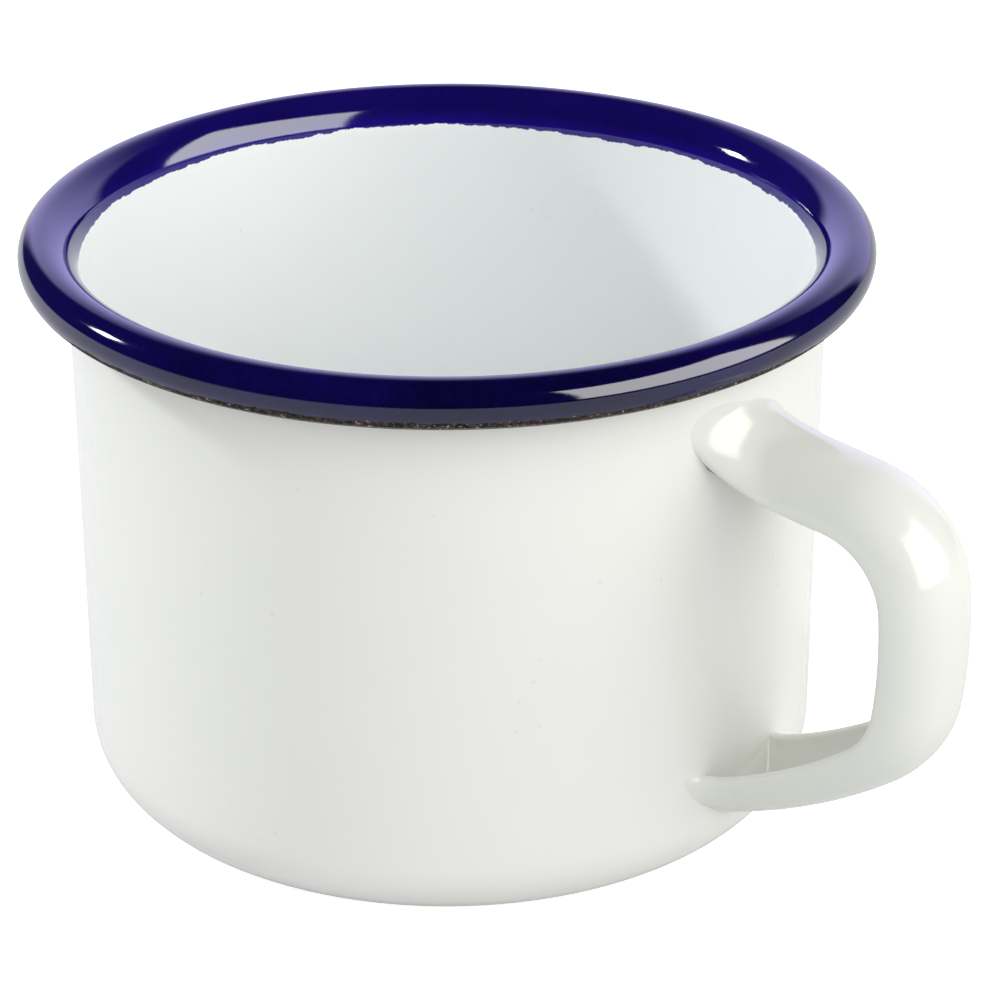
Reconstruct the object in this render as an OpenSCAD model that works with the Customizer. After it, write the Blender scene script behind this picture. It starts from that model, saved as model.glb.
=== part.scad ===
// Enamelled steel mug: a drawn cup with a rolled rim and one pressed channel handle.
// Origin at the centre of the foot, +Z up the cup, the handle towards +X.

/* [Cup] */
// outside diameter of the wall under the rim
cup_d = 80; // [64:1:110]
// outside diameter of the wall just above the rounded foot
foot_d = 79.4; // [63:0.1:109]
// outside radius between the wall and the flat base
base_round = 7.5; // [4:0.5:14]
// height of the centre of the rolled rim
rim_z = 60.9; // [58:0.1:90]
// radius of the rolled rim, outside its enamel
rim_r = 2.55; // [2.2:0.05:3.5]
// how far the centre of the rolled rim lies outside the wall
rim_out = 2.5; // [2.3:0.05:3]
// inside radius where the wall leans over into the rim
rim_lead = 4.2; // [3.8:0.1:5]

/* [Sheet and coats] */
// thickness of the drawn and pressed steel sheet
steel_t = 0.7; // [0.5:0.05:0.9]
// thickness of one fired coat of enamel
coat_t = 0.25; // [0.15:0.05:0.3]
// where the blue coat ends, in degrees below the level of the rim's centre
blue_end = 46; // [30:1:90]
// where the curled sheet stops beside the wall, in degrees below the same level
curl_turn = 168; // [130:1:175]

/* [Handle] */
// width of the channel across its lips
strap_w = 12.8; // [9:0.1:18]
// depth of the channel from crown to lips
strap_depth = 5.5; // [3.5:0.1:7]
// squareness of the channel, 2 is an ellipse
strap_square = 2.4; // [2:0.1:3.5]
// height of the crown of the upper arm where it meets the wall
handle_top_z = 51.5; // [46:0.1:56]
// distance from the cup's axis to the outermost point of the handle
handle_reach = 64.8; // [60:0.1:80]
// fall of the upper arm, degrees
arm_fall = 7; // [0:1:15]
// radius of the upper corner, over the crown
upper_r = 13.2; // [9:0.1:18]
// degrees that the back of the handle leans before its outermost point
back_above = 5; // [2:1:15]
// degrees that the back of the handle leans after its outermost point
back_below = 7.5; // [2:1:15]
// radius of the slightly bowed back, over the crown
back_r = 56; // [30:1:200]
// radius of the lower corner, over the crown
lower_r = 13.2; // [9:0.1:18]
// rise of the lower arm where it leaves its corner, degrees
arm_rise = 37.5; // [25:1:45]
// radius of the lower arm's gentle curve, over the crown
lower_arm_r = 66; // [40:1:120]
// size of the weld seams at the ends of the handle
weld_size = 0.6; // [0.4:0.05:0.8]
// reach of the enamel pooled around the ends of the handle
pool_reach = 2.6; // [1.5:0.1:3.5]

/* [Hidden] */
smooth = 180;
arc_step = 6;
section_steps = 24;
chord_error = 0.02;
root_straight = 4;
white = [0.94, 0.95, 0.93];
inner_white = [0.84, 0.86, 0.85];
cobalt = [0.07, 0.03, 0.42];
ground_dark = [0.13, 0.11, 0.10];
steel_grey = [0.55, 0.56, 0.57];
weld_grey = [0.42, 0.41, 0.40];

wall_t = steel_t + 2 * coat_t;
lip_x = wall_t / 2;
wall_r = cup_d / 2;
foot_r = foot_d / 2;
rim_x = wall_r + rim_out;

// centre of the arc that leads the wall's inner face over into the rim,
// placed so that the arc touches both the inner face and the rim's circle
lead_x = wall_r - wall_t + rim_lead;
lead_z = rim_z - sqrt(pow(rim_lead - rim_r, 2) - pow(rim_x - lead_x, 2));
lead_end = atan2(rim_z - lead_z, rim_x - lead_x);

// outer faces of the curled sheet and of the steel wall
curl_r = rim_r - coat_t;
steel_r = wall_r - coat_t;
// where the dark ground coat fills the crevice under the rim
crevice_angle = -120;
crevice_fill = 0.1;
crevice_z = rim_z - rim_r + crevice_fill;

// ---- points on arcs -------------------------------------------------------------

function arc(cx, cz, r, from, to) =
    let (n = max(2, ceil(abs(to - from) / arc_step)))
    [for (i = [0:n]) [cx + r * cos(from + (to - from) * i / n), cz + r * sin(from + (to - from) * i / n)]];

function reversed(p) = [for (i = [len(p) - 1:-1:0]) p[i]];

// ---- the cup's profile ----------------------------------------------------------

// One face of the cup's wall, out along the base, round the corner and up to `top`.
// depth is how far the face lies inside the outermost face.
function wall_face(depth, top) = concat(
    arc(foot_r - base_round, base_round, base_round - depth, -90, 0),
    [[wall_r - depth, top]]
);

// The wall's inner face led over into the rim and round it to the angle `to`.
// depth is how far the face lies under the skin of the enamel on that side.
function rim_face(depth, to) = concat(
    arc(lead_x, lead_z, rim_lead - depth, 180, lead_end),
    arc(rim_x, rim_z, rim_r - depth, lead_end, to)
);

module spun(points) {
    rotate_extrude($fn = smooth) polygon(points);
}

// everything inside the cup's outer face, pushed out by `grow`
module cup_solid(grow) {
    translate([0, 0, -1])
        cylinder(r = wall_r + grow, h = rim_z + 1, $fn = smooth);
}

// ---- the handle's path ----------------------------------------------------------
// Points are [x, z] in the handle's plane. A station adds the angle that the crown faces.

function polar(c, r, a) = [c[0] + r * cos(a), c[1] + r * sin(a)];

upper_x = handle_reach - back_r + (back_r - upper_r) * cos(back_above);
arm_end_x = upper_x + upper_r * sin(arm_fall);
arm_end_z = handle_top_z - (arm_end_x - wall_r) * tan(arm_fall);
upper_c = [upper_x, arm_end_z - upper_r * cos(arm_fall)];
back_c = polar(upper_c, upper_r - back_r, back_above);
lower_c = polar(back_c, back_r - lower_r, -back_below);
lower_turn = arm_rise - 90;
arm_c = polar(lower_c, lower_r - lower_arm_r, lower_turn);
lower_end = -acos((wall_r + root_straight - arm_c[0]) / lower_arm_r);

// crown point of each arm inside the wall, at the end of its straight root
root_x = wall_r - wall_t;
upper_root = [root_x, handle_top_z + wall_t * tan(arm_fall)];
lower_root = [
    root_x,
    arm_c[1] + lower_arm_r * sin(lower_end) - (wall_r + root_straight - root_x) / tan(-lower_end),
];

function bend(c, r, from, to) =
    let (n = ceil((from - to) / (2 * acos(1 - chord_error / r))))
    [for (i = [0:n]) let (a = from + (to - from) * i / n) [each polar(c, r, a), a]];

function tail(list) = [for (i = [1:len(list) - 1]) list[i]];

path = concat(
    [[each upper_root, 90 - arm_fall]],
    bend(upper_c, upper_r, 90 - arm_fall, back_above),
    tail(bend(back_c, back_r, back_above, -back_below)),
    tail(bend(lower_c, lower_r, -back_below, lower_turn)),
    tail(bend(arm_c, lower_arm_r, lower_turn, lower_end)),
    [[each lower_root, lower_end]]
);

// ---- the channel's section ------------------------------------------------------

// Half-round outline above the lips: distance out from the lips' plane, then distance across.
function bowl(half_w, depth) =
    let (t_lip = acos(pow(lip_x / depth, strap_square / 2)))
    [
        for (i = [0:section_steps])
            let (t = t_lip * (2 * i / section_steps - 1))
            [depth * pow(cos(t), 2 / strap_square), half_w * sign(t) * pow(abs(sin(t)), 2 / strap_square)]
    ];

// Closed outline of a channel between two depths under the outermost skin.
// It runs from one round lip over the crown to the other lip and back inside.
function channel_outline(outer, inner) =
    let (
        outside = bowl(strap_w / 2 - outer, strap_depth - outer),
        inside = bowl(strap_w / 2 - inner, strap_depth - inner),
        lip_y = (outside[section_steps][1] + inside[section_steps][1]) / 2,
        lip_r = (outside[section_steps][1] - inside[section_steps][1]) / 2,
        lip = [for (a = [120:30:240]) [lip_x + lip_r * cos(a), lip_r * sin(a)]]
    )
    concat(
        outside,
        [for (p = lip) [p[0], lip_y + p[1]]],
        reversed(inside),
        [for (p = lip) [p[0], p[1] - lip_y]]
    );

skin_outline = channel_outline(0, wall_t);
steel_outline = channel_outline(coat_t, coat_t + steel_t);
seam_outline = channel_outline(coat_t - weld_size, coat_t + steel_t + weld_size);

// ---- the channel swept along the path -------------------------------------------

function swept_points(outline) = [
    for (s = path, p = outline)
        [s[0] + (p[0] - strap_depth) * cos(s[2]), p[1], s[1] + (p[0] - strap_depth) * sin(s[2])]
];

// Quads joining ring k of n points to the next, numbered from `start`.
function side_faces(n, start, flip) = [
    for (k = [0:len(path) - 2], i = [0:n - 1])
        let (a = start + k * n + i, b = start + k * n + (i + 1) % n)
        flip ? [a, b, b + n, a + n] : [a, a + n, b + n, b]
];

// The steel channel: each end is closed by quads across its thickness, from lip to lip.
module swept_steel() {
    n = len(steel_outline);
    half = n / 2;
    // the middle point of the first lip, from where the points pair up across the steel
    first = section_steps + 3;
    last_ring = (len(path) - 1) * n;
    across = [
        for (i = [0:half - 1])
            [(first + i) % n, (first + i + 1) % n, (first - i - 1 + n) % n, (first - i + n) % n]
    ];
    polyhedron(
        points = swept_points(steel_outline),
        faces = concat(
            side_faces(n, 0, false),
            across,
            [for (f = across) [for (v = reversed(f)) last_ring + v]]
        ),
        convexity = 6
    );
}

// The coat of enamel all round the steel channel, open at both ends.
module swept_coat() {
    n = len(skin_outline);
    rings = len(path) * n;
    last_ring = rings - n;
    polyhedron(
        points = concat(swept_points(skin_outline), swept_points(steel_outline)),
        faces = concat(
            side_faces(n, 0, false),
            side_faces(n, rings, true),
            [for (i = [0:n - 1]) let (j = (i + 1) % n) [i, j, rings + j, rings + i]],
            [for (i = [0:n - 1]) let (j = (i + 1) % n)
                [last_ring + j, last_ring + i, last_ring + rings + i, last_ring + rings + j]]
        ),
        convexity = 8
    );
}

// Frames at the two roots: x towards the crown, z out along the arm, y across.
module at_upper_root() {
    translate([upper_root[0], 0, upper_root[1]])
        rotate([0, 90 + arm_fall, 0])
            mirror([1, 0, 0])
                translate([-strap_depth, 0, 0]) children();
}

module at_lower_root() {
    translate([lower_root[0], 0, lower_root[1]])
        rotate([0, -lower_end, 0])
            translate([-strap_depth, 0, 0]) children();
}

// straight end of an arm, in the frame of its root
module stub(outline) {
    linear_extrude(height = root_straight) polygon(outline);
}

// ---- cup ------------------------------------------------------------------------

// The base is left as thick as the blank, so its underside is flush with the enamel around it.
module cup_shell() {
    inner = coat_t + steel_t;
    color(steel_grey) spun(concat(
        [[0, 0], [foot_r - base_round, 0]],
        wall_face(coat_t, lead_z),
        arc(lead_x, lead_z, rim_lead - wall_t + coat_t, 180, lead_end),
        arc(rim_x, rim_z, curl_r - steel_t, lead_end, -curl_turn),
        reversed(rim_face(coat_t, -curl_turn)),
        reversed(wall_face(inner, lead_z)),
        [[0, inner]]
    ));
}

module inside_enamel() {
    color(inner_white) spun(concat(
        [[0, wall_t - coat_t]],
        wall_face(wall_t - coat_t, lead_z),
        reversed(wall_face(wall_t, lead_z)),
        [[0, wall_t]]
    ));
}

module rim_enamel() {
    color(cobalt) spun(concat(
        rim_face(0, -blue_end),
        reversed(rim_face(coat_t, -blue_end))
    ));
}

// Dark first coat: bare round the underside of the rim, and filling the crevice beside the wall.
module ground_coat_edge() {
    color(ground_dark) spun(concat(
        arc(rim_x, rim_z, rim_r, -blue_end, crevice_angle),
        [[wall_r, crevice_z], [steel_r, crevice_z]],
        [[steel_r, rim_z - curl_r * sin(curl_turn)]],
        arc(rim_x, rim_z, curl_r, -curl_turn, -blue_end)
    ));
}

module outside_enamel() {
    color(white) difference() {
        spun(concat(
            wall_face(0, crevice_z),
            reversed(wall_face(coat_t, crevice_z))
        ));
        at_upper_root() stub(steel_outline);
        at_lower_root() stub(steel_outline);
        seam() at_upper_root() stub(seam_outline);
        seam() at_lower_root() stub(seam_outline);
    }
}

// ---- handle ---------------------------------------------------------------------

module handle_strap() {
    color(steel_grey) difference() {
        swept_steel();
        cup_solid(-coat_t);
    }
}

module handle_enamel() {
    color(white) difference() {
        swept_coat();
        cup_solid(weld_size - coat_t);
    }
}

// Weld metal fills a band just outside the steel wall, on both sides of the channel.
module seam() {
    difference() {
        intersection() {
            children();
            cup_solid(weld_size - coat_t);
        }
        cup_solid(-coat_t);
    }
}

module upper_weld() {
    color(weld_grey) difference() {
        seam() at_upper_root() stub(seam_outline);
        at_upper_root() stub(steel_outline);
    }
}

module lower_weld() {
    color(weld_grey) difference() {
        seam() at_lower_root() stub(seam_outline);
        at_lower_root() stub(steel_outline);
    }
}

// Solid that narrows from the bowl grown by `grow` to the bowl itself, over the pool's reach.
module flared_bowl(half_w, depth, grow) {
    linear_extrude(
        height = wall_t + pool_reach,
        slices = 1,
        scale = [depth / (depth + grow), half_w / (half_w + grow)]
    )
        polygon(bowl(half_w + grow, depth + grow));
}

// Enamel pooled in the corner between an arm and the wall, outside and inside the channel.
module pool() {
    inner_w = strap_w / 2 - wall_t;
    inner_depth = strap_depth - wall_t;
    difference() {
        flared_bowl(strap_w / 2, strap_depth, pool_reach);
        flared_bowl(inner_w, inner_depth, -pool_reach);
        stub(skin_outline);
    }
}

module upper_root_enamel() {
    color(white) difference() {
        at_upper_root() pool();
        cup_solid(0);
        seam() at_upper_root() stub(seam_outline);
    }
}

module lower_root_enamel() {
    color(white) difference() {
        at_lower_root() pool();
        cup_solid(0);
        seam() at_lower_root() stub(seam_outline);
    }
}

cup_shell();
inside_enamel();
outside_enamel();
rim_enamel();
ground_coat_edge();
handle_strap();
handle_enamel();
upper_weld();
lower_weld();
upper_root_enamel();
lower_root_enamel();
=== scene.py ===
"""Looks of a small enamelled steel mug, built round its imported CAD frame."""
import math

import bmesh
import bpy
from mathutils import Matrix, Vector


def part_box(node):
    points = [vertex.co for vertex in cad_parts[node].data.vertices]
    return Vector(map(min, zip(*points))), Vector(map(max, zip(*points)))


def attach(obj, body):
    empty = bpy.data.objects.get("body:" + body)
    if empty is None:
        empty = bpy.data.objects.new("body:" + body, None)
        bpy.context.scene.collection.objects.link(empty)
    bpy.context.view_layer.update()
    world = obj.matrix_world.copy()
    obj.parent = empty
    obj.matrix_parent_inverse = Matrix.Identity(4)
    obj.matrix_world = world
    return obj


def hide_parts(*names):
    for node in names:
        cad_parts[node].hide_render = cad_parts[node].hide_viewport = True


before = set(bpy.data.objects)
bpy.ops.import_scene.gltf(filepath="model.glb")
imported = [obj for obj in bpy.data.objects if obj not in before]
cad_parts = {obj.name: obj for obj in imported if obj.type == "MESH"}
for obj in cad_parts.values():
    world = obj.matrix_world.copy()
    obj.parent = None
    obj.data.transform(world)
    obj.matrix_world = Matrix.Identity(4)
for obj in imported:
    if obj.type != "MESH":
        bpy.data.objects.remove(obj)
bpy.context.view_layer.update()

# ---- sizes, in metres ------------------------------------------------------------
MM = 0.001
SHARP_ABOVE = 40
MERGE_DISTANCE = 1e-7
ARC_STEP = 4.0
WALL_SEGMENTS = 288
RIM_SEGMENTS = 384
foot_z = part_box("outside_enamel")[0].z
wall_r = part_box("outside_enamel")[1].y
rim_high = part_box("rim_enamel")[1]
handle_low, handle_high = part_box("handle_enamel")

COAT = 0.25 * MM
WALL = 1.2 * MM
FOOT_TAPER = 0.3 * MM
BASE_ROUND = 7.5 * MM
RIM_R = 2.55 * MM
RIM_LEAD = 4.2 * MM
rim_x = rim_high.y - RIM_R
rim_z = rim_high.z - RIM_R
foot_r = wall_r - FOOT_TAPER
lead_x = wall_r - WALL + RIM_LEAD
lead_z = rim_z - math.sqrt((RIM_LEAD - RIM_R) ** 2 - (rim_x - lead_x) ** 2)
lead_end = math.degrees(math.atan2(rim_z - lead_z, rim_x - lead_x))
BLUE_END = -46
CREVICE = -120
crevice_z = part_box("outside_enamel")[1].z
BLUE_EDGE_Z = rim_z - 1.15 * MM
BARE_Z = rim_z - 1.15 * MM

# the handle's path over the crown of its channel, and the channel's section
STRAP_W = handle_high.y - handle_low.y
STRAP_DEPTH = 5.5 * MM
STRAP_SQUARE = 2.25
HANDLE_TOP_Z = 51.5 * MM
ARM_FALL = 7.0
UPPER_R = 13.2 * MM
BACK_R = 56.0 * MM
BACK_ABOVE = 5.0
BACK_BELOW = 7.5
LOWER_R = 13.2 * MM
LOWER_TURN = -52.5
LOWER_ARM_R = 66.0 * MM
ROOT_STRAIGHT = 4.0 * MM
LEAD_STEPS = 4
FLARE_STEPS = 16
FLARE_SINK = 0.02 * MM
SINK_POWER = 6
BOWL_STEPS = 36
LIP_STEPS = 12
BEAD_R = 0.22 * MM
BEAD_SIDES = 10
LOWER_ROOT_RINGS = 6

# how the handle's skin spreads at its two roots, in millimetres
UPPER_START = 6
UPPER_START_LESS_NEAR = 2.5
UPPER_START_MORE_AT_LIPS = 5
UPPER_NEAR_WIDER = 3.4
UPPER_FAR_WIDER = 0.8
UPPER_RISE = 2.2
UPPER_NEAR_RISE = 3.9
UPPER_NEAR_RISE_POWER = 1.2
UPPER_FAR_DROP = 2
UPPER_BEND = 1.7
LOWER_START = 0.9
LOWER_START_MORE_AT_LIPS = 3.6
LOWER_NEAR_WIDER = 3.1
LOWER_FAR_WIDER = 0.4
LOWER_BEND = 2
LOWER_POOL_START = 2.2
LOWER_POOL_BEND = 1.3


# ---- small helpers ---------------------------------------------------------------
def polar(centre, r, degrees):
    a = math.radians(degrees)
    return (centre[0] + r * math.cos(a), centre[1] + r * math.sin(a))


def arc(centre, r, start, stop):
    n = max(2, math.ceil(abs(stop - start) / ARC_STEP))
    return [polar(centre, r, start + (stop - start) * i / n) for i in range(n + 1)]


def new_object(name, verts, faces):
    mesh = bpy.data.meshes.new(name)
    mesh.from_pydata(verts, [], faces)
    bm = bmesh.new()
    bm.from_mesh(mesh)
    bmesh.ops.remove_doubles(bm, verts=bm.verts, dist=MERGE_DISTANCE)
    bmesh.ops.recalc_face_normals(bm, faces=bm.faces)
    bm.to_mesh(mesh)
    bm.free()
    mesh.polygons.foreach_set("use_smooth", [True] * len(mesh.polygons))
    mesh.set_sharp_from_angle(angle=math.radians(SHARP_ABOVE))
    obj = bpy.data.objects.new(name, mesh)
    bpy.context.scene.collection.objects.link(obj)
    return obj


def lathe(name, profile, segments=WALL_SEGMENTS):
    """A closed profile of (radius, height) turned about Z. A point on the axis is one vertex."""
    verts, rings = [], []
    for r, z in profile:
        if r < MERGE_DISTANCE:
            rings.append([len(verts)] * segments)
            verts.append((0, 0, z))
            continue
        rings.append(list(range(len(verts), len(verts) + segments)))
        for i in range(segments):
            a = 2 * math.pi * i / segments
            verts.append((r * math.cos(a), r * math.sin(a), z))
    faces = []
    for k in range(len(profile)):
        low, high = rings[k], rings[(k + 1) % len(profile)]
        for i in range(segments):
            j = (i + 1) % segments
            corners = []
            for v in (low[i], low[j], high[j], high[i]):
                if v not in corners:
                    corners.append(v)
            if len(corners) > 2:
                faces.append(corners)
    return new_object(name, verts, faces)


# ---- profiles of the cup ---------------------------------------------------------
def wall_face(depth, top):
    """One face of the wall, out from the base, round the corner and up to `top`."""
    corner = (foot_r - BASE_ROUND, foot_z + BASE_ROUND)
    return arc(corner, BASE_ROUND - depth, -90, 0) + [
        (foot_r - depth + (wall_r - foot_r) * t, BASE_ROUND + (top - BASE_ROUND) * t)
        for t in (0.1, 0.3, 0.5, 0.7, 0.9, 1.0)
    ]


def rim_face(depth, stop):
    return (arc((lead_x, lead_z), RIM_LEAD - depth, 180, lead_end)
            + arc((rim_x, rim_z), RIM_R - depth, lead_end, stop)[1:])


def make_outside():
    obj = lathe("outside_coat", wall_face(0, crevice_z) + wall_face(COAT, crevice_z)[::-1])
    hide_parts("outside_enamel")
    return obj


def make_inside():
    inner = [(0, WALL), (12 * MM, WALL), (24 * MM, WALL)] + wall_face(WALL, lead_z)
    outer = wall_face(WALL - COAT, lead_z)[::-1] + [(0, WALL - COAT)]
    obj = lathe("inside_coat", inner + outer)
    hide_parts("inside_enamel")
    return obj


def make_rim():
    obj = lathe("rim_coat", rim_face(0, BLUE_END) + rim_face(COAT, BLUE_END)[::-1], RIM_SEGMENTS)
    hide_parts("rim_enamel")
    return obj


def make_ground_coat():
    steel_r = wall_r - COAT
    profile = arc((rim_x, rim_z), RIM_R, BLUE_END, CREVICE)
    profile += [(wall_r, crevice_z), (steel_r, crevice_z), (steel_r, rim_z - 0.5 * MM)]
    profile += arc((rim_x, rim_z), RIM_R - COAT, -168, BLUE_END)
    obj = lathe("ground_coat", profile, RIM_SEGMENTS)
    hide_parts("ground_coat_edge")
    return obj


# ---- the handle ------------------------------------------------------------------
def handle_stations():
    """Crown points and the angle that the crown faces, from the upper arm round to the lower."""
    upper_x = handle_high.x - BACK_R + (BACK_R - UPPER_R) * math.cos(math.radians(BACK_ABOVE))
    fall = math.radians(ARM_FALL)
    end_x = upper_x + UPPER_R * math.sin(fall)
    end_z = HANDLE_TOP_Z - (end_x - wall_r) * math.tan(fall)
    upper_c = (upper_x, end_z - UPPER_R * math.cos(fall))
    back_c = polar(upper_c, UPPER_R - BACK_R, BACK_ABOVE)
    lower_c = polar(back_c, BACK_R - LOWER_R, -BACK_BELOW)
    arm_c = polar(lower_c, LOWER_R - LOWER_ARM_R, LOWER_TURN)
    lower_end = -math.degrees(math.acos((wall_r + ROOT_STRAIGHT - arm_c[0]) / LOWER_ARM_R))
    stations = []
    for centre, r, start, stop, step in (
        (upper_c, UPPER_R, 90 - ARM_FALL, BACK_ABOVE, 2.5),
        (back_c, BACK_R, BACK_ABOVE, -BACK_BELOW, 1.5),
        (lower_c, LOWER_R, -BACK_BELOW, LOWER_TURN, 2.5),
        (arm_c, LOWER_ARM_R, LOWER_TURN, lower_end, 1.5),
    ):
        n = max(2, math.ceil(abs(stop - start) / step))
        first = 1 if stations else 0
        for i in range(first, n + 1):
            a = start + (stop - start) * i / n
            stations.append((*polar(centre, r, a), math.radians(a)))
    return stations


def bowl(half_w, depth):
    """Half-round outline above the lips: distance out from the lips' plane, then across."""
    t_lip = math.acos((WALL / 2 / depth) ** (STRAP_SQUARE / 2))
    points = []
    for i in range(BOWL_STEPS + 1):
        t = t_lip * (2 * i / BOWL_STEPS - 1)
        across = math.copysign(abs(math.sin(t)) ** (2 / STRAP_SQUARE), t)
        points.append((depth * math.cos(t) ** (2 / STRAP_SQUARE), half_w * across))
    return points


def channel_outline(outer=0.0, inner=WALL):
    """Outline of the channel between two depths under its skin.

    Each point is its distance out from the lips' plane, its distance across, and how far it is
    from the outside, 0, to the inside of the channel, 1.
    """
    half_w = STRAP_W / 2
    outside = bowl(half_w - outer, STRAP_DEPTH - outer)
    inside = bowl(half_w - inner, STRAP_DEPTH - inner)
    lip_y = (outside[-1][1] + inside[-1][1]) / 2
    lip_r = (outside[-1][1] - inside[-1][1]) / 2
    steps = range(1, LIP_STEPS)
    lip = [polar((WALL / 2, 0), lip_r, 90 + 180 * k / LIP_STEPS) for k in steps]
    points = [(s, y, 0.0) for s, y in outside]
    points += [(s, lip_y + y, k / LIP_STEPS) for k, (s, y) in zip(steps, lip)]
    points += [(s, y, 1.0) for s, y in inside[::-1]]
    points += [(s, y - lip_y, 1 - k / LIP_STEPS) for k, (s, y) in zip(steps, lip)]
    return points


def ring_at(station, outline):
    x, z, a = station
    crown = Vector((math.cos(a), 0, math.sin(a)))
    base = Vector((x, 0, z)) - crown * STRAP_DEPTH
    return [base + crown * s + Vector((0, y, 0)) for s, y, _ in outline]


def radius_at(z):
    """The cup's outside radius at a height, on the rounded foot or the tapered wall."""
    if z < BASE_ROUND:
        return foot_r - BASE_ROUND + math.sqrt(BASE_ROUND ** 2 - (BASE_ROUND - z) ** 2)
    return foot_r + (wall_r - foot_r) * (z - BASE_ROUND) / (crevice_z - BASE_ROUND)


def on_wall(p, direction):
    """Where a line from `p` meets the outside of the cup, found in a few steps."""
    hit = p
    for _ in range(4):
        a = direction.x ** 2 + direction.y ** 2
        b = 2 * (p.x * direction.x + p.y * direction.y)
        c = p.x ** 2 + p.y ** 2 - radius_at(hit.z) ** 2
        hit = p + direction * ((-b - math.sqrt(b * b - 4 * a * c)) / (2 * a))
    return hit


def back_along(line, distance):
    """The point on a polyline at a distance back from its last point."""
    for k in range(len(line) - 1, 0, -1):
        step = (line[k] - line[k - 1]).length
        if distance <= step or k == 1:
            return line[k].lerp(line[k - 1], distance / step)
        distance -= step


def flare_rings(rings, into_wall, spread, sink):
    """Rings that lead the last of `rings` to the wall and spread it there.

    For each outline point, `spread` gives how far back along the arm the spreading starts, how
    far sideways and upwards the point has moved when it reaches the wall, and how strongly the
    path bends there: 1 is a straight chamfer.
    """
    n = len(rings[0])
    lines = [[ring[i] for ring in rings] for i in range(n)]
    for line in lines:
        line.append(on_wall(line[-1], into_wall))
    lengths = [sum((p - q).length for p, q in zip(line, line[1:])) for line in lines]
    out = []
    for k in range(1, LEAD_STEPS + 1):
        out.append([
            back_along(line, length + (spread[i][0] - length) * k / LEAD_STEPS)
            for i, (line, length) in enumerate(zip(lines, lengths))
        ])
    for k in range(1, FLARE_STEPS + 1):
        t = k / FLARE_STEPS
        ring = []
        for line, (start, sideways, upwards, bend) in zip(lines, spread):
            q = back_along(line, start * (1 - t) ** bend)
            hit = line[-1]
            z = q.z + upwards * t ** bend
            turn = math.atan2(q.y, q.x)
            turned = math.asin((hit.y + sideways) / wall_r) - math.asin(hit.y / wall_r)
            turn += turned * t ** bend
            r = math.hypot(q.x, q.y) - sink * t ** SINK_POWER
            # the wall tapers: keep the same height over it as the point moves up or down
            r += radius_at(z) - radius_at(q.z)
            ring.append(Vector((r * math.cos(turn), r * math.sin(turn), z)))
        out.append(ring)
    return out


def between(outer, inner, inside):
    """A spread part way between the outside's and the inside's, with its lengths in metres."""
    start, sideways, upwards, bend = (p + (q - p) * inside for p, q in zip(outer, inner))
    return start * MM, sideways * MM, upwards * MM, bend


def upper_spread():
    """The upper arm's end is pressed wide and flat, and its enamel ran to one side.

    h is 0 at the lips and 1 at the crown; w is -1 at the near edge and 1 at the far edge.
    """
    out = []
    for s, y, inside in channel_outline():
        h, w = s / STRAP_DEPTH, 2 * y / STRAP_W
        near, far = max(0.0, -w), max(0.0, w)
        start = UPPER_START - UPPER_START_LESS_NEAR * min(1.0, 2 * near)
        start += UPPER_START_MORE_AT_LIPS * (1 - h)
        sideways = UPPER_FAR_WIDER * far - UPPER_NEAR_WIDER * near
        rise = UPPER_RISE + UPPER_NEAR_RISE * near ** UPPER_NEAR_RISE_POWER - UPPER_FAR_DROP * far
        outer = (start, sideways, rise, UPPER_BEND)
        # inside the channel the pool reaches further down towards the crown
        inner = (5, UPPER_NEAR_WIDER * w * (1 - h), 2.8 - 7.5 * h, UPPER_BEND)
        out.append(between(outer, inner, inside))
    return out


def lower_spread():
    """The lower arm's lips lean out to the wall, and enamel fills the end of its channel.

    h and w are as for the upper arm.
    """
    out = []
    for s, y, inside in channel_outline():
        h, w = s / STRAP_DEPTH, 2 * y / STRAP_W
        near, far = max(0.0, -w), max(0.0, w)
        start = LOWER_START + LOWER_START_MORE_AT_LIPS * (1 - h * h)
        sideways = (LOWER_FAR_WIDER * far - LOWER_NEAR_WIDER * near) * (1 - h * h)
        rise = (1.7 - 1.3 * far) * (1 - h) + 0.7 * h
        outer = (start, sideways, rise, LOWER_BEND)
        pool_rise = 0.4 + (3.8 + 1.2 * w) * h
        inner = (LOWER_POOL_START, 0.3 * w, pool_rise, LOWER_POOL_BEND)
        out.append(between(outer, inner, inside))
    return out


def swept_channel(name, outline, sink):
    """The channel swept from wall to wall, sunk into it at both ends, and its rings.

    The skin and the steel under it are spread alike, point by point, so that the steel stays
    the same distance under the skin.
    """
    stations = handle_stations()
    rings = [ring_at(s, outline) for s in stations]
    fall, a = math.radians(ARM_FALL), stations[-1][2]
    upper_in = Vector((-math.cos(fall), 0, math.sin(fall)))
    lower_in = Vector((math.sin(a), 0, -math.cos(a)))
    upper = flare_rings(rings[:1], upper_in, upper_spread(), sink)
    lower = flare_rings(rings[-LOWER_ROOT_RINGS:], lower_in, lower_spread(), sink)
    rings = upper[::-1] + rings[:1 - LOWER_ROOT_RINGS] + lower
    n = len(outline)
    verts = [v for ring in rings for v in ring]
    faces = [
        (k * n + i, k * n + (i + 1) % n, (k + 1) * n + (i + 1) % n, (k + 1) * n + i)
        for k in range(len(rings) - 1) for i in range(n)
    ]
    return new_object(name, verts, faces), rings


def make_handle():
    obj, _ = swept_channel("handle_skin", channel_outline(), FLARE_SINK)
    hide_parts("handle_enamel", "upper_root_enamel", "lower_root_enamel")
    return obj


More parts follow.
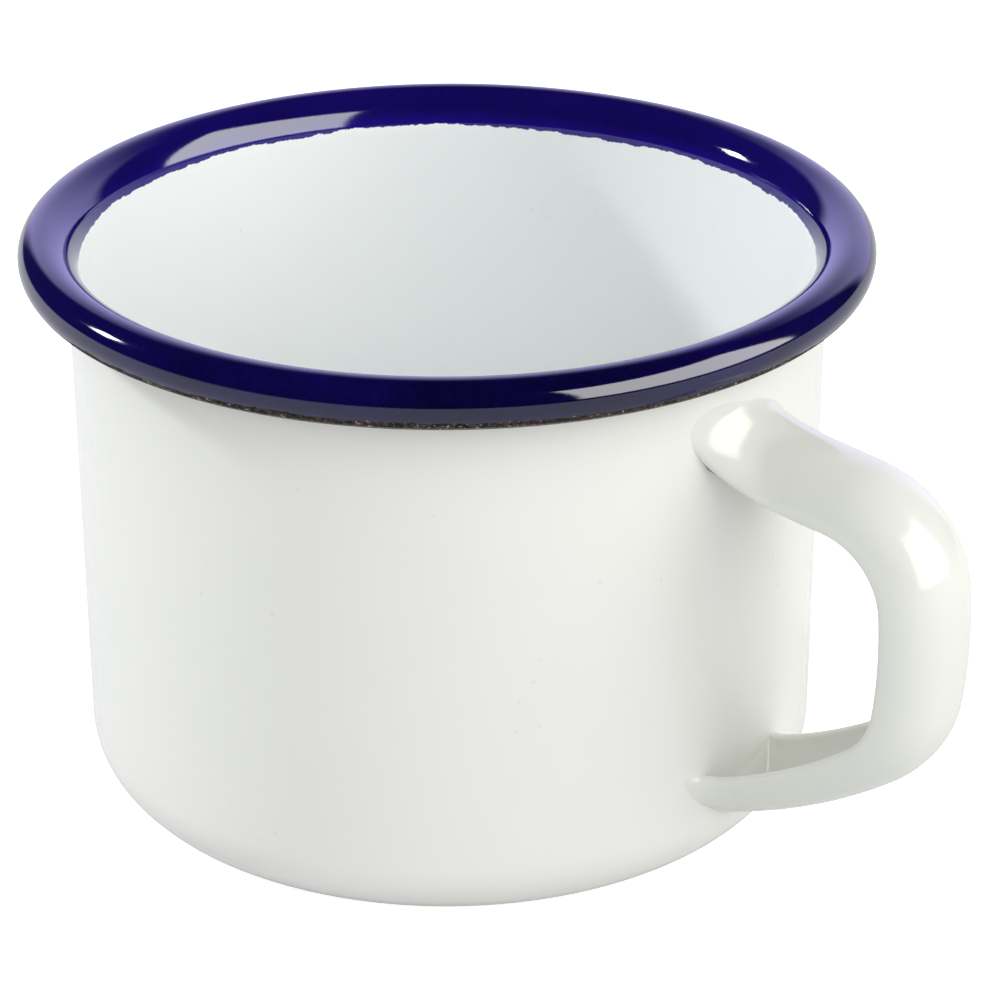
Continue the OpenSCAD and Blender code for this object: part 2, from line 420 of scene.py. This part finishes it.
def make_strap():
    """The steel under the skin, and a round bead of weld along each of its ends."""
    obj, rings = swept_channel("handle_steel", channel_outline(COAT, WALL - COAT), COAT)
    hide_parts("handle_strap")
    upper = make_bead("upper_weld_bead", rings[0], "upper_weld")
    lower = make_bead("lower_weld_bead", rings[-1], "lower_weld")
    return obj, upper, lower


def make_bead(name, ring, node):
    """A bead of weld metal along the outline where the steel meets the cup."""
    n, sides = len(ring), BEAD_SIDES
    verts, faces = [], []
    for i, p in enumerate(ring):
        ahead = (ring[(i + 1) % n] - ring[i - 1]).normalized()
        out = Vector((p.x, p.y, 0)).normalized()
        across = ahead.cross(out)
        for k in range(sides):
            a = 2 * math.pi * k / sides
            verts.append(p + BEAD_R * (across * math.cos(a) + out * math.sin(a)))
    for i in range(n):
        for k in range(sides):
            j, m = (i + 1) % n, (k + 1) % sides
            faces.append((i * sides + k, i * sides + m, j * sides + m, j * sides + k))
    obj = new_object(name, verts, faces)
    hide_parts(node)
    return obj


# ---- materials -------------------------------------------------------------------
class Nodes:
    """A material's node tree, with short calls for the nodes used here."""

    def __init__(self, name):
        self.material = bpy.data.materials.new(name)
        self.material.use_nodes = True
        self.tree = self.material.node_tree
        self.tree.nodes.clear()
        self.output = self.tree.nodes.new("ShaderNodeOutputMaterial")
        self.shader = self.tree.nodes.new("ShaderNodeBsdfPrincipled")
        self.link(self.shader.outputs[0], self.output.inputs[0])
        self.place = self.tree.nodes.new("ShaderNodeTexCoord").outputs["Object"]

    def link(self, a, b):
        self.tree.links.new(a, b)

    def set(self, socket, value):
        if isinstance(value, bpy.types.NodeSocket):
            self.link(value, socket)
        else:
            socket.default_value = value

    def noise(self, scale, detail=3.0, roughness=0.5):
        node = self.tree.nodes.new("ShaderNodeTexNoise")
        self.link(self.place, node.inputs["Vector"])
        node.inputs["Scale"].default_value = scale
        node.inputs["Detail"].default_value = detail
        node.inputs["Roughness"].default_value = roughness
        return node.outputs["Fac"]

    def cells(self, scale):
        node = self.tree.nodes.new("ShaderNodeTexVoronoi")
        self.link(self.place, node.inputs["Vector"])
        node.inputs["Scale"].default_value = scale
        return node.outputs["Distance"]

    def math(self, operation, a, b=0.0, clamp=False):
        node = self.tree.nodes.new("ShaderNodeMath")
        node.operation = operation
        node.use_clamp = clamp
        self.set(node.inputs[0], a)
        self.set(node.inputs[1], b)
        return node.outputs[0]

    def span(self, value, low, high, to_low=0.0, to_high=1.0, smooth=True):
        node = self.tree.nodes.new("ShaderNodeMapRange")
        node.interpolation_type = "SMOOTHSTEP" if smooth else "LINEAR"
        for socket, v in zip(node.inputs, (value, low, high, to_low, to_high)):
            self.set(socket, v)
        return node.outputs[0]

    def mix(self, factor, a, b):
        node = self.tree.nodes.new("ShaderNodeMix")
        node.data_type = "RGBA"
        self.set(node.inputs["Factor"], factor)
        for socket, v in ((node.inputs[6], a), (node.inputs[7], b)):
            self.set(socket, v if isinstance(v, bpy.types.NodeSocket) else (*v, 1.0))
        return node.outputs[2]

    def blend(self, factor, a, b):
        node = self.tree.nodes.new("ShaderNodeMix")
        self.set(node.inputs["Factor"], factor)
        self.set(node.inputs[2], a)
        self.set(node.inputs[3], b)
        return node.outputs[0]

    def xyz(self):
        node = self.tree.nodes.new("ShaderNodeSeparateXYZ")
        self.link(self.place, node.inputs[0])
        return node.outputs

    def radius(self):
        x, y, _ = self.xyz()
        square = self.math("ADD", self.math("MULTIPLY", x, x), self.math("MULTIPLY", y, y))
        return self.math("SQRT", square)

    def bump(self, height, distance):
        node = self.tree.nodes.new("ShaderNodeBump")
        node.inputs["Distance"].default_value = distance
        node.inputs["Strength"].default_value = 1.0
        self.link(height, node.inputs["Height"])
        return node.outputs[0]


def white_enamel(name, base, shade, dark_foot_edge=False, bump_mm=0.010):
    """Glassy white coat: slow changes of tone, rare pinholes, a slight orange peel."""
    n = Nodes(name)
    slow = n.noise(28, 2.0)
    fine = n.noise(300, 3.0)
    color = n.mix(n.span(slow, 0.3, 0.7), base, shade)
    distance = n.cells(560)
    rare = n.math("GREATER_THAN", n.noise(95, 2.0), 0.64)
    pit = n.math("MULTIPLY", n.span(distance, 0.07, 0.15, 1.0, 0.0), rare)
    color = n.mix(n.math("MULTIPLY", pit, 0.12), color, (0.30, 0.30, 0.27))
    rough = n.span(fine, 0.3, 0.7, 0.13, 0.20)
    if dark_foot_edge:
        # a darker ring where the coat ends under the foot
        _, _, z = n.xyz()
        ragged = n.math("MULTIPLY", n.math("SUBTRACT", n.noise(320, 4.0), 0.5), 0.3 * MM)
        dark_foot = n.span(n.math("ADD", z, ragged), 0.0, 0.16 * MM, 1.0, 0.0)
        color = n.mix(n.math("MULTIPLY", dark_foot, 0.75), color, (0.10, 0.085, 0.07))
        rough = n.blend(dark_foot, rough, 0.45)
    height = n.math("ADD", n.math("MULTIPLY", slow, 6.0), fine)
    height = n.math("SUBTRACT", height, n.math("MULTIPLY", pit, 1.5))
    n.set(n.shader.inputs["Base Color"], color)
    n.set(n.shader.inputs["Roughness"], rough)
    n.set(n.shader.inputs["Normal"], n.bump(height, bump_mm * MM))
    n.shader.inputs["IOR"].default_value = 1.42
    return n.material


def ground_look(n):
    """Dark first coat with burnt brown and pale specks."""
    specks = n.noise(1900, 4.0, 0.7)
    color = n.mix(n.span(specks, 0.47, 0.55), (0.005, 0.004, 0.005), (0.060, 0.040, 0.029))
    color = n.mix(n.span(n.noise(2300, 2.0), 0.63, 0.67), color, (0.32, 0.28, 0.23))
    return color, specks


def blue_enamel(name, inner_white_painted_light):
    """Cobalt over the rim, ragged where it meets the white inside and the dark coat below."""
    n = Nodes(name)
    _, _, z = n.xyz()
    slow = n.noise(60, 2.0)
    grain = n.noise(1700, 2.0)
    outside = n.math("GREATER_THAN", n.radius(), wall_r + 0.2 * MM)
    inside = n.math("SUBTRACT", 1.0, outside)
    deep, mid, thin = (0.0012, 0.0003, 0.024), (0.0030, 0.0006, 0.052), (0.012, 0.003, 0.19)
    blue = n.mix(n.span(slow, 0.35, 0.68), deep, mid)
    blue = n.mix(n.math("MULTIPLY", n.span(grain, 0.45, 0.75), 0.12), blue, thin)
    # painted light: a lighter blue over the rim's inner slope, where it faces up into the light
    inner_slope_painted_light = n.span(n.radius(), rim_x - 1.6 * MM, rim_x + 0.6 * MM, 0.32, 0.0)
    blue = n.mix(inner_slope_painted_light, blue, thin)
    # height of the inner edge of the blue: slow waves and fine teeth
    waves = n.math("MULTIPLY", n.math("SUBTRACT", n.noise(75, 2.0), 0.5), 1.1 * MM)
    teeth = n.math("MULTIPLY", n.math("SUBTRACT", n.noise(640, 3.0, 0.65), 0.5), 0.9 * MM)
    level = n.math("ADD", n.math("SUBTRACT", z, waves), teeth)
    # the blue thins towards its edge with the white; the wide reach of this lighter blue over the
    # inner slope is painted light
    thinning_and_painted_light = n.span(level, BLUE_EDGE_Z + 0.05 * MM, BLUE_EDGE_Z + 2.0 * MM, 0.95, 0.0)
    blue = n.mix(n.math("MULTIPLY", thinning_and_painted_light, inside), blue, thin)
    white = n.span(level, BLUE_EDGE_Z - 0.04 * MM, BLUE_EDGE_Z + 0.05 * MM, 1.0, 0.0)
    white = n.math("MULTIPLY", white, inside)
    # underside: the blue thins out raggedly over the dark ground coat
    ground, specks = ground_look(n)
    ragged = n.math("MULTIPLY", n.math("SUBTRACT", n.noise(1000, 4.0, 0.7), 0.5), 0.75 * MM)
    drift = n.math("MULTIPLY", n.math("SUBTRACT", n.noise(90, 2.0), 0.5), 0.9 * MM)
    low = n.math("ADD", n.math("ADD", z, drift), ragged)
    bare = n.span(low, BARE_Z - 0.10 * MM, BARE_Z + 0.06 * MM, 1.0, 0.0)
    bare = n.math("MULTIPLY", bare, outside)
    # the white at the blue's inner edge is the inside's brighter, bluer copy, which is painted
    # light
    color = n.mix(white, blue, inner_white_painted_light)
    color = n.mix(bare, color, ground)
    rough = n.blend(bare, n.span(slow, 0.3, 0.7, 0.05, 0.09), 0.75)
    height = n.math("ADD", n.math("MULTIPLY", slow, 5.0), n.math("MULTIPLY", grain, 0.2))
    height = n.math("SUBTRACT", height, n.math("MULTIPLY", white, 2.0))
    height = n.math("ADD", height, n.math("MULTIPLY", n.math("MULTIPLY", specks, bare), 9.0))
    n.set(n.shader.inputs["Base Color"], color)
    n.set(n.shader.inputs["Roughness"], rough)
    n.set(n.shader.inputs["Normal"], n.bump(height, 0.012 * MM))
    n.set(n.shader.inputs["Specular IOR Level"], n.blend(bare, 0.5, 0.12))
    n.shader.inputs["IOR"].default_value = 1.58
    return n.material


def ground_enamel(name):
    n = Nodes(name)
    color, specks = ground_look(n)
    n.set(n.shader.inputs["Base Color"], color)
    n.set(n.shader.inputs["Roughness"], n.span(specks, 0.3, 0.7, 0.35, 0.6))
    n.set(n.shader.inputs["Normal"], n.bump(specks, 0.12 * MM))
    return n.material


def steel(name, base, rough_low, rough_high):
    """Pressed sheet steel, with a dark fired film on the underside of the base."""
    n = Nodes(name)
    _, _, z = n.xyz()
    grain = n.noise(900, 4.0, 0.6)
    blotch = n.noise(55, 3.0)
    metal = n.mix(n.span(blotch, 0.3, 0.7), base, tuple(0.7 * c for c in base))
    ground, _ = ground_look(n)
    under = n.span(z, 0.02 * MM, 0.06 * MM, 1.0, 0.0)
    n.set(n.shader.inputs["Base Color"], n.mix(under, metal, ground))
    n.set(n.shader.inputs["Metallic"], n.math("SUBTRACT", 1.0, under))
    n.set(n.shader.inputs["Roughness"], n.span(grain, 0.3, 0.7, rough_low, rough_high))
    n.set(n.shader.inputs["Normal"], n.bump(grain, 0.03 * MM))
    return n.material


def floor_material():
    """A pale table, lit from below so that it stays white round the mug."""
    n = Nodes("floor_pale")
    tone = n.mix(n.span(n.noise(3.0, 2.0), 0.3, 0.7), (0.65, 0.65, 0.655), (0.63, 0.63, 0.64))
    n.set(n.shader.inputs["Base Color"], tone)
    n.shader.inputs["Roughness"].default_value = 0.9
    n.shader.inputs["Specular IOR Level"].default_value = 0.1
    seen = n.tree.nodes.new("ShaderNodeLightPath").outputs["Is Camera Ray"]
    n.shader.inputs["Emission Color"].default_value = (1.0, 1.0, 1.0, 1.0)
    n.set(n.shader.inputs["Emission Strength"], n.blend(seen, FLOOR_GLOW, FLOOR_GLOW_SEEN))
    return n.material


# ---- camera and light ------------------------------------------------------------
# Places are given round the mug by angle: 0 towards the camera, 90 to the camera's right.
CAMERA_TURN = -50.6
CAMERA_PITCH = 25.46
CAMERA_YAW = 0.877
CAMERA_OUT = 0.36094
CAMERA_UP = 0.20233
LENS = 132.07
FLOOR_GLOW = 0.10
FLOOR_GLOW_SEEN = 0.80
ROOM_MATTE = 0.56
SOFTBOX_MATTE = 1.95
LAMP_MATTE = 115.0
FRONT_MATTE = 1.4
BACKDROP_MATTE = 1.2
LIT_HEIGHT = 0.03
FLOOR_HALF = 3.0
WARM, COOL, MILKY = (1.0, 0.985, 0.94), (0.95, 0.975, 1.0), (0.98, 1.0, 0.97)
PLAIN = (1.0, 1.0, 1.0)
# what the glossy coats mirror
ROOM_DARK = (0.022, 0.022, 0.026)
BACKDROP_SEEN = (1.05, 0.98, 1.75)
SOFTBOX_SEEN = (7.2, 7.1, 6.9)
LAMP_SEEN = (60.0, 60.0, 62.0)


def around(angle, elevation, distance):
    a = math.radians(CAMERA_TURN + angle)
    e = math.radians(elevation)
    return Vector((math.cos(a) * math.cos(e), math.sin(a) * math.cos(e), math.sin(e))) * distance


def make_camera():
    data = bpy.data.cameras.new("camera")
    data.lens = LENS
    data.sensor_width = 36.0
    data.clip_start = 0.01
    obj = bpy.data.objects.new("camera", data)
    bpy.context.scene.collection.objects.link(obj)
    obj.location = around(0, 0, CAMERA_OUT) + Vector((0, 0, CAMERA_UP))
    ahead = around(180 - CAMERA_YAW, -CAMERA_PITCH, 1.0)
    obj.rotation_mode = "QUATERNION"
    obj.rotation_quaternion = ahead.to_track_quat("-Z", "Y")
    bpy.context.scene.camera = obj


def make_area(name, angle, elevation, distance, width, height, radiance, color):
    """A panel that lights the mug but isn't mirrored in it: the room's shader draws reflections."""
    data = bpy.data.lights.new(name, "AREA")
    data.shape = "RECTANGLE"
    data.size = width
    data.size_y = height
    data.energy = radiance * math.pi * width * height
    data.color = color
    obj = bpy.data.objects.new(name, data)
    bpy.context.scene.collection.objects.link(obj)
    target = Vector((0, 0, LIT_HEIGHT))
    obj.location = around(angle, elevation, distance) + target
    obj.rotation_mode = "QUATERNION"
    obj.rotation_quaternion = (target - obj.location).to_track_quat("-Z", "Y")
    obj.visible_camera = False
    obj.visible_glossy = False


class Room(Nodes):
    """The room's shader: what a ray sees in each direction, by angle round the mug and height."""

    def __init__(self, world):
        world.use_nodes = True
        self.tree = world.node_tree
        self.tree.nodes.clear()
        self.output = self.tree.nodes.new("ShaderNodeOutputWorld")
        self.shader = self.tree.nodes.new("ShaderNodeBackground")
        self.link(self.shader.outputs[0], self.output.inputs[0])
        self.place = self.tree.nodes.new("ShaderNodeTexCoord").outputs["Generated"]
        degrees = math.degrees(1.0)
        ahead, across = self.along(around(0, 0, 1.0)), self.along(around(90, 0, 1.0))
        self.angle = self.math("MULTIPLY", self.math("ARCTAN2", across, ahead), degrees)
        self.height = self.math("MULTIPLY", self.math("ARCSINE", self.xyz()[2]), degrees)

    def along(self, direction):
        node = self.tree.nodes.new("ShaderNodeVectorMath")
        node.operation = "DOT_PRODUCT"
        self.link(self.place, node.inputs[0])
        node.inputs[1].default_value = direction
        return node.outputs["Value"]

    def band(self, value, low, high, fade_low, fade_high):
        rise = self.span(value, low - fade_low, low + fade_low)
        fall = self.span(value, high - fade_high, high + fade_high, 1.0, 0.0)
        return self.math("MULTIPLY", rise, fall)

    def panel(self, angle, angles, heights, fades):
        a = self.band(angle, *angles, fades[0], fades[0])
        return self.math("MULTIPLY", a, self.band(self.height, *heights, *fades[1:]))


def make_world():
    world = bpy.data.worlds.new("studio")
    world.cycles.sampling_method = "NONE"
    bpy.context.scene.world = world
    n = Room(world)
    full_turn = n.math("FLOORED_MODULO", n.angle, 360.0)
    backdrop = n.panel(full_turn, (135, 205), (-2, 34), (5, 1, 16))
    color = n.mix(backdrop, ROOM_DARK, BACKDROP_SEEN)
    softbox = n.panel(n.angle, (33, 98), (5, 47), (1.5, 2, 2))
    color = n.mix(softbox, color, SOFTBOX_SEEN)
    lamp = n.panel(n.angle, (-111, -103), (23.5, 30.5), (1.0, 1.0, 1.0))
    color = n.mix(lamp, color, LAMP_SEEN)
    ray = n.tree.nodes.new("ShaderNodeLightPath")
    matte = tuple(ROOM_MATTE * c for c in (0.97, 0.99, 1.0))
    color = n.mix(ray.outputs["Is Glossy Ray"], matte, color)
    color = n.mix(ray.outputs["Is Camera Ray"], color, PLAIN)
    n.link(color, n.shader.inputs["Color"])


def make_floor():
    corners = ((-1, -1), (1, -1), (1, 1), (-1, 1))
    verts = [(x * FLOOR_HALF, y * FLOOR_HALF, foot_z) for x, y in corners]
    obj = new_object("floor", verts, [(0, 1, 2, 3)])
    obj.data.materials.append(floor_material())


def make_lights():
    make_area("softbox", 75, 22, 1.2, 1.4, 1.1, SOFTBOX_MATTE, WARM)
    make_area("lamp", -110, 29, 1.1, 0.13, 0.13, LAMP_MATTE, COOL)
    make_area("backdrop", 180, 22, 1.6, 2.2, 1.3, BACKDROP_MATTE, PLAIN)
    make_area("front", 0, 42, 1.4, 1.3, 1.1, FRONT_MATTE, MILKY)


# ---- put it together -------------------------------------------------------------
make_camera()
make_world()
make_lights()
make_floor()
bpy.context.scene.view_settings.view_transform = "Standard"

OUTER_WHITE, OUTER_SHADE = (0.795, 0.79, 0.76), (0.775, 0.775, 0.75)
# painted light: the inside's white is a brighter, bluer copy of the outside's white, for the light
# inside the cup
INNER_WHITE_PAINTED_LIGHT, INNER_TONE_PAINTED_LIGHT = (0.87, 0.885, 0.885), (0.85, 0.87, 0.87)
# painted shade: the handle's white is a darker, yellower copy of the outside's white, though the
# handle wears the same coat
HANDLE_WHITE_PAINTED_SHADE, HANDLE_TONE_PAINTED_SHADE = (0.75, 0.755, 0.71), (0.73, 0.74, 0.695)
outside_look = white_enamel("outside_white", OUTER_WHITE, OUTER_SHADE, dark_foot_edge=True)
handle_look_painted_shade = white_enamel("handle_white_painted_shade", HANDLE_WHITE_PAINTED_SHADE, HANDLE_TONE_PAINTED_SHADE, bump_mm=0.016)
inside_look_painted_light = white_enamel("inside_white", INNER_WHITE_PAINTED_LIGHT, INNER_TONE_PAINTED_LIGHT)
blue_look = blue_enamel("cobalt_blue", INNER_WHITE_PAINTED_LIGHT)
ground_coat_look = ground_enamel("ground_coat")
steel_look = steel("sheet_steel", (0.42, 0.42, 0.43), 0.32, 0.5)
weld_look = steel("weld_steel", (0.30, 0.29, 0.28), 0.4, 0.6)

strap, upper_bead, lower_bead = make_strap()
for piece, look, slot in (
    (strap, steel_look, "sheet_steel"),
    (upper_bead, weld_look, "weld_steel"),
    (lower_bead, weld_look, "weld_steel"),
    (make_outside(), outside_look, "outside_white"),
    (make_inside(), inside_look_painted_light, "inside_white"),
    (make_rim(), blue_look, "cobalt_blue"),
    (make_ground_coat(), ground_coat_look, "ground_coat"),
    (make_handle(), handle_look_painted_shade, "outside_white"),
):
    piece.data.materials.append(look)
    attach(piece, "root")

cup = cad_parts["cup_shell"]
cup.data.materials.clear()
cup.data.materials.append(steel_look)
